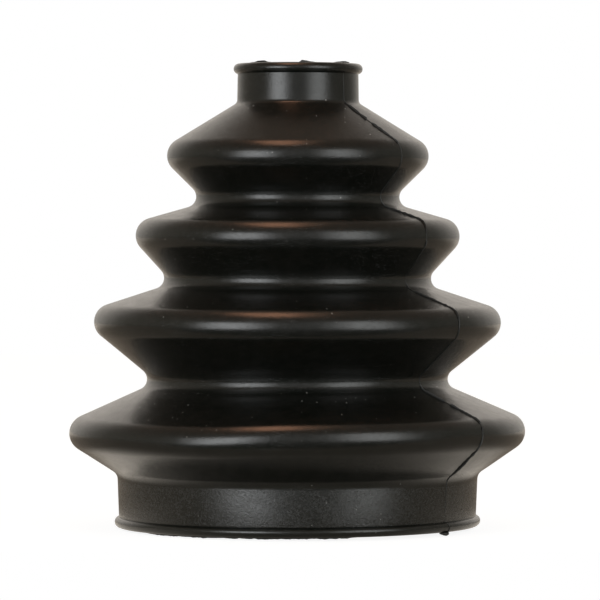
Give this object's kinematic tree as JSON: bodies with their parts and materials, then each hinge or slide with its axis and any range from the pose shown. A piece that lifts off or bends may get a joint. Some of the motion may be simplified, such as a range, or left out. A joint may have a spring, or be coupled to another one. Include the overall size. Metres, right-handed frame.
{
  "type": "rubber bellows boot",
  "caption": "Tapered rubber bellows boot with a clamped collar at each end, which keeps grease in and dirt out of a drive shaft joint.",
  "frame": {"origin": "on the axis, in the plane of the large end's face, which the boot stands on", "axes": "+Z along the boot's axis from the large end to the small end; the parting line lies 38 degrees clockwise from +X seen from above"},
  "size_m": [0.105, 0.105, 0.1065],
  "materials": {
    "rubber": "satin black moulded rubber"
  },
  "bodies": {
    "root": {"boot": "rubber"}
  },
  "joints": []
}
